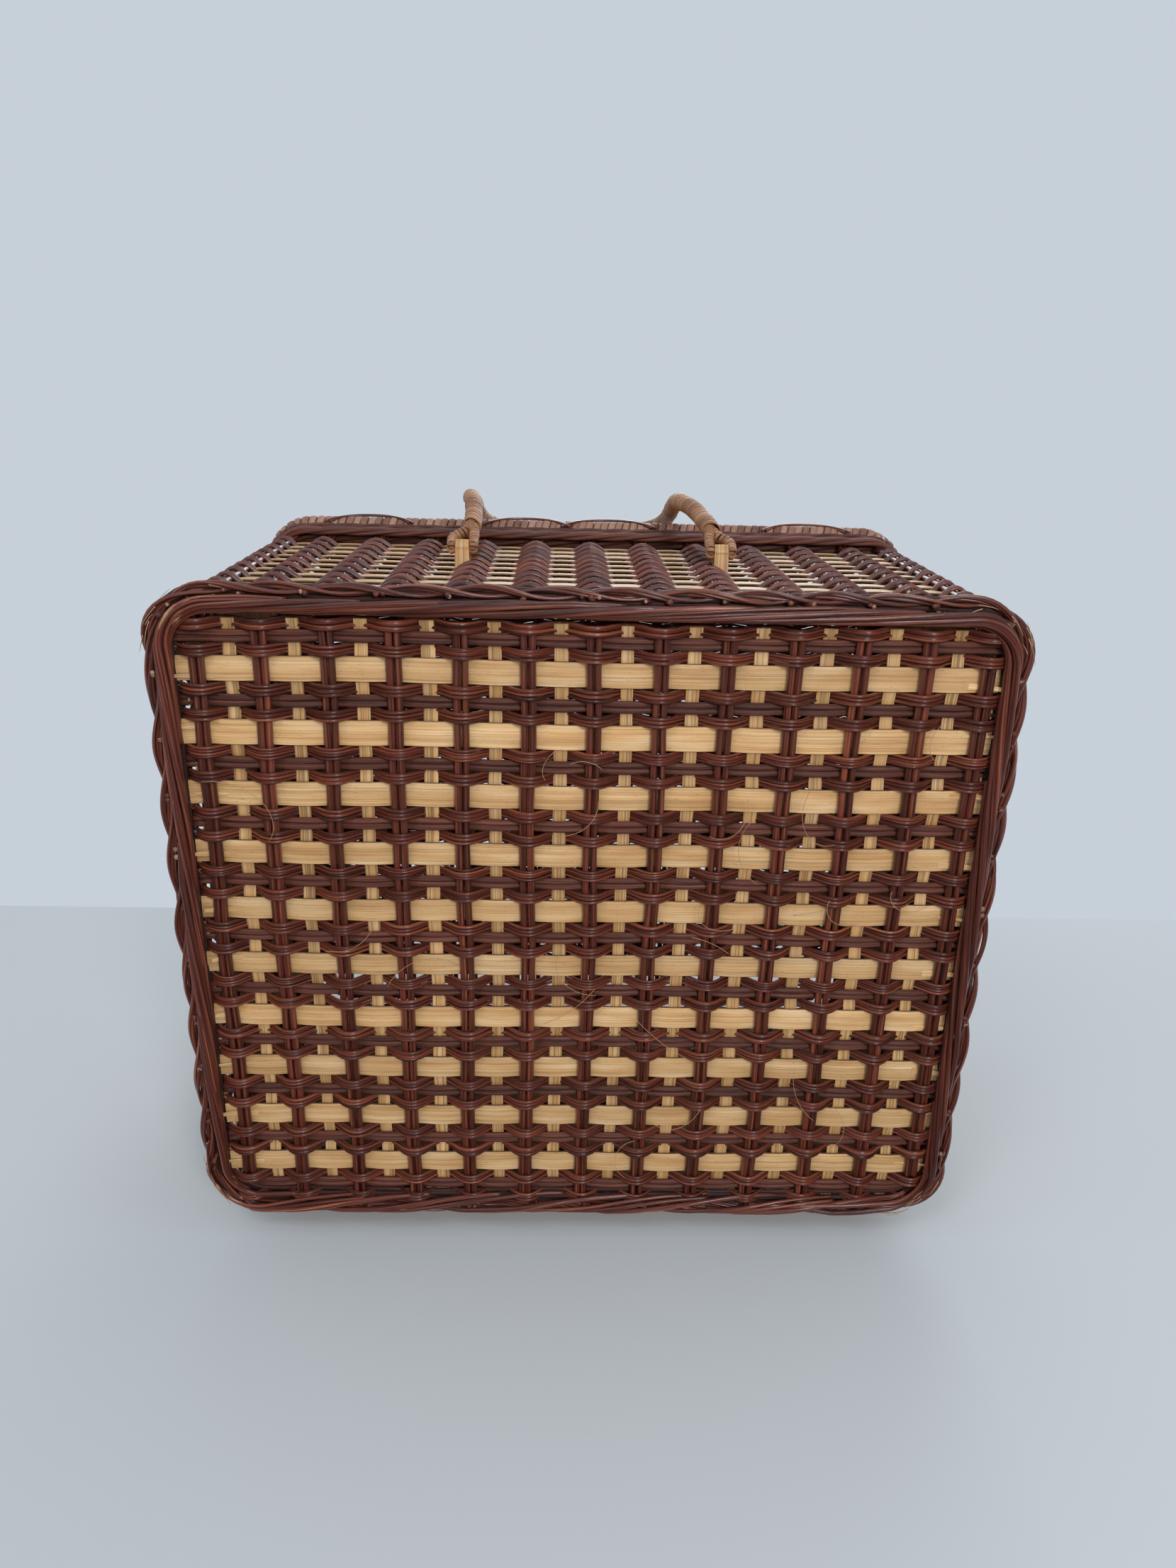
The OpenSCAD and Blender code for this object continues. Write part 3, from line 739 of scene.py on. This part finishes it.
def stray_fibres():
    """Frayed pale ends at the corners of the border, and hairs that cross the weave of the base."""
    strands = Strands(33)
    rng = strands.rng
    share = np.linspace(0, 1, 8)
    for corner in BORDER.corners:
        for _ in range(7):
            run = rng.choice([-1, 1]) * rng.uniform(4, 11)
            angle = rng.uniform(-1.8, -0.2) + share * rng.uniform(-0.6, 0.6)
            path, out = on_roll(corner + rng.uniform(-22, 22) + run * share, angle,
                                5.0 + rng.uniform(0.5, 1.9) * share ** 1.6, 1.0, 7.0)
            path[:, 2] = np.maximum(path[:, 2], 0.3)
            strands.add(path, out, round_section(0.24, 6), scale=1 - 0.7 * share, wear=1.0)
    share = np.linspace(0, 1, 14)
    for _ in range(22):
        heading, length = rng.uniform(0, TAU), rng.uniform(14, 45)
        x, y = rng.uniform(-165, 165), rng.uniform(-140, 130)
        bend = heading + share * rng.uniform(-1.6, 1.6)
        path = np.stack([x + length * share * np.cos(bend), y + length * share * np.sin(bend),
                         3.6 - rng.uniform(0.5, 2.5) * np.sin(math.pi * share)], 1)
        strands.add(path, -UP, round_section(0.13, 6), wear=1.0)
    return strands


def foot_border():
    parts = (("roll", border_roll(), LACQUERED), ("core", border_core(), MATTE),
             ("braid", border_braid(), LACQUERED), ("fibres", stray_fibres(), LACQUERED))
    for label, strands, look in parts:
        strands.build(f"foot_border_{label}", look, ["foot_border"])


# ---- Walls ----

WALLS = Loop(WALL[0] + 2, WALL[1] + 0.5, WALL_R)
WALL_START = 9.0        # the height inside the border where its stakes and strips start
CORNER_COLUMN = 22.0    # from the last column of the front to the one at the corner


def on_wall(where, depth, z):
    """Points at a depth inside the wall's face, and the directions out. The back's foot is drawn in."""
    rise = np.clip((z - FOOT[2]) / (BAND_LOW[2] - FOOT[2]), 0, 1)
    path, normal = WALLS.at(where, -depth, z)
    path[:, 1] -= FOOT_SHIFT * (1 - rise) * (1 + path[:, 1] / WALL[1])
    return path, normal


def stake_columns():
    """Where the stake columns stand along the wall."""
    reach = (FRONT_COLUMNS - 1) / 2 * FRONT_PITCH + CORNER_COLUMN
    front = np.concatenate([[-reach], centred(FRONT_COLUMNS, FRONT_PITCH), [reach]])
    side = centred(SIDE_COLUMNS, SIDE_PITCH)
    found = [middle + places for middle, places in zip(WALLS.sides, (front, side) * 2)]
    return np.sort(np.mod(np.concatenate(found), WALLS.length))


COLUMNS = stake_columns()
RING = np.concatenate([[COLUMNS[-1] - WALLS.length], COLUMNS, [COLUMNS[0] + WALLS.length]])
GAPS = (RING[:-1] + RING[1:]) / 2


def over_stakes(where):
    """1 on a stake column of the wall, 0 midway between two."""
    where = np.mod(where, WALLS.length)
    right = np.clip(np.searchsorted(RING, where), 1, len(RING) - 1)
    part = (where - RING[right - 1]) / (RING[right] - RING[right - 1])
    return 0.5 + 0.5 * np.cos(TAU * part)


def wall_weavers(rows, seed):
    """Pairs of thin reeds that arch over every stake column and dive between the slats."""
    strands = Strands(seed)
    where, share = round_the_loop(WALLS, 2.35)
    over = over_stakes(where)
    for row in rows:
        for s in (-1, 1):
            z = (FIRST_ROW + row * ROW + s * mixed(0.45, 1.18, over)
                 + strands.drift(share, 0.14, 44))
            depth = mixed(8.1, 0.75, over) + strands.drift(share, 0.12, 60)
            path, normal = on_wall(where, depth, z)
            strands.add(path, normal, round_section(1.15, 7), closed=True,
                        scale=1 + strands.drift(share, 0.06, 70))
    return strands


def wall_slats():
    """Flat bamboo rows, nearly touching, each a little proud at its lower edge."""
    strands = Strands(41)
    where, share = round_the_loop(WALLS, 4.2)
    over = over_stakes(where)
    for row in range(WALL_ROWS):
        z = FIRST_ROW + (row + 0.5) * ROW + strands.rng.uniform(-0.3, 0.3)
        path, normal = on_wall(where, 5.6 - 0.5 * (1 - over), z + strands.drift(share, 0.35, 7))
        tilt = UP * strands.rng.uniform(0.06, 0.13)
        # The slat's narrow sides are marked for painted seam shade.
        strands.add(path, normal + tilt, flat_section(ROW - 1.8, 0.9, 0.3, 0.3), closed=True,
                    edge_shaded_sides=FLAT_EDGES)
    return strands


def row_wave(z):
    """1 at the height of a row of wall weavers, -1 halfway to the next."""
    return np.cos(TAU * (z - FIRST_ROW) / ROW)


def wall_stakes():
    """Bundles of three reeds from the foot border up into the rim."""
    strands = Strands(42)
    share = np.linspace(0, 1, 48)
    z = mixed(WALL_START, RIM_Z - RIM_R + 1, share)
    bend = np.clip((z - WALL_TOP) / (RIM_Z - WALL_TOP - 4), 0, 1)
    depth = mixed(3.35 + 0.12 * row_wave(z), -3.0, bend ** 1.5)
    for column in COLUMNS:
        for k in (-1, 0, 1):
            path, normal = on_wall(column + k * 2.75 + strands.drift(share, 0.2, 3), depth, z)
            strands.add(path, normal, round_section(1.36, 8, 0.05),
                        scale=1 + strands.drift(share, 0.05, 5))
    return strands


def wall_strips():
    """Narrow cane strips inside the slats, midway between the stakes."""
    strands = Strands(43)
    share = np.linspace(0, 1, 60)
    z = mixed(WALL_START, WALL_TOP + 3, share)
    depth = 6.7 - 0.12 * row_wave(z)
    for gap in GAPS[1:]:
        path, normal = on_wall(gap + strands.drift(share, 0.3, 2), depth, z)
        strands.add(path, normal, flat_section(strands.rng.uniform(5.2, 6.0), 0.7, 0.1, 0.2),
                    cut=0.0)
    return strands


def walls():
    half = WALL_ROWS // 2
    for label, rows, seed in (("lower", range(half), 44), ("upper", range(half, WALL_ROWS), 45)):
        wall_weavers(rows, seed).build(f"wall_weavers_{label}", LACQUERED, ["wall_weavers"])
    sides = ("front", "right", "back", "left")
    corners = ("back_right", "back_left", "front_left", "front_right")
    slats = [f"{side}_slats" for side in sides] + [f"{corner}_corner_slats" for corner in corners]
    wall_slats().build("wall_slats_woven", BAMBOO, slats, crisp=True)
    stakes = [f"{side}_stakes" for side in sides] + ["corner_stakes"]
    wall_stakes().build("wall_stakes_woven", LACQUERED, stakes)
    strips = [f"{side}_strips" for side in sides]
    wall_strips().build("wall_strips_woven", CANE, strips, crisp=True)


# ---- Top band, ledge and rim ----

BAND_LOOP = Loop(WALL[0] + 3, WALL[1] + 0.5, RIM_BEND - 3)
RIM_LOOP = Loop(RIM[0] - RIM_R, RIM[1] - RIM_R, RIM_BEND)
LID_LOOP = Loop(LID[0] - LID_R, LID[1] - LID_R, 16.0)
TURN = TAU * np.arange(16) / 16     # the angles round one turn of wrapping


def rope(strands, loop, z, out, turn, radius, count=3):
    """Reeds twisted round each other along a whole loop."""
    where, share = round_the_loop(loop, 4)
    turns = round(loop.length / turn)
    for k in range(count):
        angle = TAU * (turns * share + k / count)
        spread = radius * (0.95 + strands.drift(share, 0.12, 9))
        path, normal = loop.at(where, out + spread * np.cos(angle), z + spread * np.sin(angle))
        strands.add(path, normal, round_section(radius, 8, 0.04), closed=True)


def top_band():
    """Rows of twisted dark reeds that close the weave, outside and inside."""
    strands = Strands(50)
    height = BAND[2] - BAND_LOW[2]
    for part in (0.14, 0.44, 0.74):
        rope(strands, BAND_LOOP, BAND_LOW[2] + part * height, 1.3, 64, 1.25)
        rope(strands, BAND_LOOP, BAND_LOW[2] + part * height, -8.6, 64, 1.25)
    rope(strands, BAND_LOOP, BAND[2] + 0.4, 2.6, 48, 1.2)
    rope(strands, BAND_LOOP, BAND[2] - 0.6, -4.0, 80, 1.6)
    strands.build("top_band_woven", MATTE, ["top_band"])


def lid_ledge():
    """Stout reeds inside the rim that the lid rests on, lashed down with cane."""
    reeds, lashing = Strands(51), Strands(52)
    radius = (LEDGE[2] - LEDGE_LOW[2]) / 2
    z = (LEDGE[2] + LEDGE_LOW[2]) / 2
    side = LEDGE[0] - radius
    front = -LEDGE_LOW[1] - radius
    runs = [((-side + 10, -front), (side - 10, -front), 8),
            ((-side, -front + 10), (-side, front - 26), 6),
            ((side, -front + 10), (side, front - 26), 6)]
    share = np.linspace(0, 1, 60)
    for start, end, ties in runs:
        line = mixed(np.array([*start, z]), np.array([*end, z]), share[:, None])
        reeds.add(line, UP, round_section(radius - 0.2, 14, 0.02),
                  scale=1 + reeds.drift(share, 0.02, 4))
        along = (line[-1] - line[0]) / np.linalg.norm(line[-1] - line[0])
        out = turned(np.cross(along, UP), UP, TURN)
        for tie in range(ties):
            centre = mixed(line[0], line[-1], (tie + 0.5) / ties)
            for shift in (-2.2, 0.0, 2.2):
                ring = centre + along * shift + out * (radius - 0.1)
                lashing.add(ring, out, wrap_section(2.1, 0.5), closed=True)
    reeds.build("lid_ledge_reeds", MATTE, ["lid_ledge"])
    lashing.build("lid_ledge_lashing", CANE, ["lid_ledge"])


def wrap_loop(strands, loop, z, rod_r, thick, width, lean):
    """Turns of cane side by side round a rod that follows a loop."""
    rng = strands.rng
    turns = round(loop.length / width)
    for turn in range(turns):
        where = loop.length * (turn + rng.uniform(-0.06, 0.06)) / turns
        reach = rod_r + rng.uniform(-0.05, 0.12)
        along = where + (lean + rng.uniform(-0.25, 0.25)) * np.cos(TURN)
        path, normal = loop.at(along, reach * np.cos(TURN), z + reach * np.sin(TURN))
        section = wrap_section(width * rng.uniform(0.94, 1.03), thick * rng.uniform(0.85, 1.2))
        strands.add(path, turned(normal, UP, TURN), section, closed=True)


def rim():
    """The wrapped rim, and the thin reeds that arch over its outside."""
    wraps = Strands(53)
    wrap_loop(wraps, RIM_LOOP, RIM_Z, RIM_R - 0.75, 0.75, 4.4, 1.3)
    wraps.build("rim_wrap_turns", RIM_CANE, ["rim_wrap"])
    strands = Strands(54)
    share = np.linspace(-1, 1, 34)
    arches = [(-132, -38, 12, 132), (-88, 0, 88)] * 2
    for middle, places in zip(RIM_LOOP.sides, arches):
        for place in places:
            for k in range(2):
                half = 25 + 3 * k + strands.rng.uniform(-2, 2)
                z = RIM_Z + 4.1 - 1.4 * k - 10.5 * np.abs(share) ** 2.1
                out = RIM_R + 0.5 - 2.7 * np.abs(share) ** 3
                path, normal = RIM_LOOP.at(middle + place + share * half, out, z)
                strands.add(path, normal, round_section(0.8, 8))
    strands.build("rim_scallops_woven", LACQUERED, ["rim_scallops"])


# ---- Handle: half of its centre line from an eye to the middle of the grip, from the pin ----

STAPLE_LOW, STAPLE = box_mm("handle_staple_right")
EYE_X = (STAPLE_LOW[0] + STAPLE[0]) / 2
STRAP_W = STAPLE[0] - STAPLE_LOW[0]
GRIP_R = 4.4
GRIP_LEAN = -9.0            # how far the grip leans to one side
FORK = (64.5, -7.5, 13.0)   # where the grip splits into the two legs of an eye
HALF_GRIP = [
    (64, -9.5, 17), (62.8, -12.5, 25), (60.5, -18, 41), (59, -19, 60), (59, -14, 85), (58.5, -7, 103),
    (56.5, -1, 117), (50.5, 4.5, 130), (38, 7.8, 138), (20, 8.5, 140)
]


def on_handle(point, s):
    """A point of the half centre line, on the side s of the handle."""
    lean = GRIP_LEAN * min(1.0, max(0.0, point[2] - 20.5) / 40)
    return np.array([s * point[0] + lean, PIN[1] + point[1], PIN[2] + point[2]])


def smooth_path(points, steps):
    """A Catmull-Rom curve through the points, with its ends held."""
    points = np.array(points, float)
    padded = np.concatenate([points[:1], points, points[-1:]])
    t = np.linspace(0, 1, steps, endpoint=False)[:, None]
    runs = []
    for a, b, c, d in zip(padded, padded[1:], padded[2:], padded[3:]):
        runs.append((2 * b + (c - a) * t + (2 * a - 5 * b + 4 * c - d) * t ** 2
                     + (3 * b - a - 3 * c + d) * t ** 3) / 2)
    return np.concatenate(runs + [points[-1:]])


def resampled(path, step):
    """The same path with its points about step apart."""
    lengths = np.concatenate([[0], np.cumsum(np.linalg.norm(np.diff(path, axis=0), axis=1))])
    places = np.linspace(0, lengths[-1], max(2, round(lengths[-1] / step)))
    return np.stack([np.interp(places, lengths, path[:, i]) for i in range(3)], 1)


def wrap_path(strands, path, rod_r, thick, width, tilt, reference):
    """Turns of cane round a rod along an open path. Rod_r gives its radius at a share of the path."""
    rng = strands.rng
    spots = resampled(path, width)
    ahead = np.gradient(spots, axis=0)
    ahead /= np.linalg.norm(ahead, axis=1, keepdims=True)
    for spot, along, radius in zip(spots, ahead, rod_r(np.linspace(0, 1, len(spots)))):
        first = np.cross(along, reference)
        first /= np.linalg.norm(first)
        out = turned(first, np.cross(along, first), TURN)
        reach = radius + rng.uniform(-0.05, 0.08)
        slant = (tilt + rng.uniform(-0.2, 0.2)) * np.cos(TURN + rng.uniform(-0.3, 0.3))
        ring = spot + out * reach + along * slant[:, None]
        strands.add(ring, out, wrap_section(width * 1.06, thick * rng.uniform(0.85, 1.2)),
                    closed=True)


def handle_grip():
    middle = on_handle((0, 8.5, 140), 1)
    centre = [on_handle(p, -1) for p in HALF_GRIP] + [middle]
    centre += [on_handle(p, 1) for p in reversed(HALF_GRIP)]
    wraps = Strands(60)
    wrap_path(wraps, smooth_path(centre, 12), lambda share: GRIP_R - 0.6 + 0.5 * np.abs(2 * share - 1),
              0.6, 3.1, 1.5, np.array([0, 1, 0.2]))
    wraps.build("handle_wrap_turns", HANDLE_CANE, ["handle_wrap"], "handle")


def eye_leg(s, k):
    """The path of one leg of an eye, from the fork down and round the pin."""
    tip = on_handle(FORK, s) + [k * 1.8, 0, 0]
    x = s * EYE_X + k * (STRAP_W / 2 + 1.9)
    turn = np.radians(np.arange(150, 400, 25))
    hook = [np.array([x, PIN[1] + 1.9 * math.cos(a), PIN[2] + 1.9 * math.sin(a)]) for a in turn]
    knee = np.array([x, PIN[1] - 3.6, PIN[2] + 6])
    root = on_handle(HALF_GRIP[1], s) + [k * 1.2, 0, -2]
    return smooth_path([root, tip, mixed(tip, knee, 0.6), knee] + hook, 8)


def handle_eye(side, s):
    """An eye: the grip's end split into two wrapped lobes, each hooked round the pin."""
    wraps = Strands(61 + s)
    for k in (-1, 1):
        wrap_path(wraps, eye_leg(s, k), lambda share: 1.7 + 0.55 * np.sin(math.pi * share), 0.5,
                  2.2, 0.4, np.array([1, 0, 0]))
    share = np.linspace(0, 1, 8)
    plug = mixed(on_handle(HALF_GRIP[1], s), on_handle(FORK, s) - [0, 0, 2.5], share[:, None])
    wraps.add(plug, np.array([1.0, 0, 0]), round_section(GRIP_R - 0.2, 14),
              scale=1 - 0.55 * share ** 2, tone=-0.5)
    reach = STRAP_W / 2 + 3.4
    x = np.linspace(-reach, reach, 12)
    path = np.stack([s * EYE_X + x, np.full(12, PIN[1]), np.full(12, PIN[2])], 1)
    wraps.add(path, UP, round_section(2.0, 14))
    wraps.build(f"handle_eye_{side}_turns", HANDLE_CANE, [f"handle_eye_{side}"], "handle")


def handle_staple(side, s):
    """A flat strap round the pin, with both ends tucked into the wall."""
    strands = Strands(64 + s)
    turn = np.radians(np.arange(75, 286, 15))
    bow = [(3.35 * math.cos(a), 3.35 * math.sin(a)) for a in turn]
    wall = WALL[1] + PIN[1]
    tuck = -wall + 5.6
    tails = [(tuck, 6.2), (0.5 * tuck, 4.6)], [(0.5 * tuck, -4.0), (tuck, -4.8)]
    outline = tails[0] + bow + tails[1]
    points = [np.array([s * EYE_X, PIN[1] + y, PIN[2] + z]) for y, z in outline]
    path = smooth_path(points, 4)
    middle = np.array([s * EYE_X, PIN[1] + 1.5, PIN[2]])
    share = np.abs(np.linspace(-1, 1, len(path)))
    strands.add(path, path - middle, flat_section(STRAP_W - 0.5, 1.15, 0.1),
                scale=1 + 0.12 * share ** 2, tone=0.8)
    strands.build(f"handle_staple_{side}_strap", CANE, [f"handle_staple_{side}"], crisp=True)


def handle():
    handle_grip()
    for side, s in (("left", -1), ("right", 1)):
        handle_eye(side, s)
        handle_staple(side, s)


# ---- Lid frame and hinge loops ----

def lid():
    Mat("lid", "lid", LID_COLUMNS, LID_ROWS, LID_BEND, LID_TUCK, 20).build()
    wraps = Strands(70)
    wrap_loop(wraps, LID_LOOP, LID_Z, LID_R - 0.75, 0.75, 3.5, 0.9)
    wraps.build("lid_wrap_turns", RIM_CANE, ["lid_wrap"], "lid")
    hinge_loops()


def hinge_loops():
    """Four turns of cane at each hinge, round the rim rod and the lid's back rod."""
    strands = Strands(71)
    outermost = box_mm("hinge_loops")[1][0]
    turn_w = 1.9
    across = np.array([0, LID[1] - LID_R - HINGE[1], LID_Z - HINGE[2]])
    reach = np.linalg.norm(across)
    ahead = across / reach
    side = np.cross([1.0, 0, 0], ahead)
    radius = RIM_R + 0.45
    bend = np.radians(np.arange(90, 271, 12))
    ring = [(radius * math.cos(a), radius * math.sin(a)) for a in bend]
    ring += [(reach - radius * math.cos(a), -radius * math.sin(a)) for a in bend]
    for s in (-1, 1):
        for k in (-1.5, -0.5, 0.5, 1.5):
            x = s * (outermost - 4) + k * turn_w
            path = np.array([np.array([x, *HINGE[1:]]) + a * ahead + b * side for a, b in ring])
            middle = path.mean(axis=0)
            strands.add(path, path - middle, flat_section(turn_w, 0.8, 0.1, 0.15), closed=True)
    strands.build("hinge_loop_turns", CANE, ["hinge_loops"], "lid", crisp=True)


def repaint_rods():
    """The rods keep their CAD shapes under the wrapping."""
    rod = bare_rod()[0]
    for node in ("rim_rod", "lid_frame", "handle_core"):
        for place in frame["nodes"][node].material_slots:
            place.material = rod


# ---- Stage ----

def one_sided(name, colour):
    """A matte material that is clear from behind."""
    f = Finish(name)
    f.shader.inputs["Base Color"].default_value = colour
    f.shader.inputs["Roughness"].default_value = 0.85
    back = f.make("ShaderNodeNewGeometry", {}).outputs["Backfacing"]
    clear = f.make("ShaderNodeBsdfTransparent", {}).outputs[0]
    mix = f.make("ShaderNodeMixShader", {0: back, 1: f.shader.outputs[0], 2: clear})
    f.feed(f.tree.nodes["Material Output"].inputs["Surface"], mix.outputs[0])
    return f.material


def stage_plane(name, corners, material):
    mesh = bpy.data.meshes.new(name)
    mesh.from_pydata(corners, [], [(0, 1, 2, 3)])
    mesh.materials.append(material)
    plane = put_in_scene(name, mesh)
    plane.visible_shadow = False
    plane.visible_diffuse = False


def stage():
    """The shelf that the hamper lies on in the main view, and a floor for the upright views."""
    pale = one_sided("pale stage", srgb(196, 198, 199))
    shelf, far, near = CAD_BOX[1].y + 0.0005, 0.383, -1.5
    stage_plane("shelf", [(-3, shelf, near), (3, shelf, near), (3, shelf, far), (-3, shelf, far)],
                pale)
    stage_plane("floor", [(-4, -4, -0.0006), (4, -4, -0.0006), (4, 4, -0.0006), (-4, 4, -0.0006)],
                pale)


COOL = (0.93, 0.97, 1.0)            # the colour of the lamps
LIT_POINT = Vector((0, 0, 0.1))     # what they all point at, in metres


def area_light(name, place, size, power):
    light = bpy.data.lights.new(name, "AREA")
    light.size, light.energy, light.color = size, power, COOL
    lamp = put_in_scene(name, light)
    lamp.location = place
    lamp.rotation_euler = (LIT_POINT - lamp.location).to_track_quat("-Z", "Y").to_euler()


def light_and_camera():
    scene = bpy.context.scene
    scene.view_settings.view_transform = "Standard"
    scene.world = bpy.data.worlds.new("room")
    scene.world.use_nodes = True
    background = scene.world.node_tree.nodes["Background"]
    background.inputs["Color"].default_value = srgb(199, 208, 217)
    area_light("key", (-0.5, -1.2, -0.8), 0.5, 4)
    area_light("fill", (0.35, -0.7, -1.2), 0.35, 9)
    area_light("top", (0.3, -0.5, 1.4), 1.0, 10)

    right, up, ahead = (0.9995, -0.0238, -0.0191), (-0.0154, -0.935, 0.3543), (0.0263, 0.3538, 0.9349)
    data = bpy.data.cameras.new("view")
    data.lens, data.sensor_width = 24.98, 36
    camera = put_in_scene("view", data)
    axes = Matrix((right, up, [-part for part in ahead])).transposed()
    camera.matrix_world = Matrix.Translation((-0.0153, -0.2626, -0.4677)) @ axes.to_4x4()
    scene.camera = camera


stage()
light_and_camera()
Mat("base", "basket", BASE_COLUMNS, BASE_ROWS, BASE_BEND, BASE_TUCK, 10).build()
foot_border()
walls()
top_band()
lid_ledge()
rim()
handle()
lid()
repaint_rods()
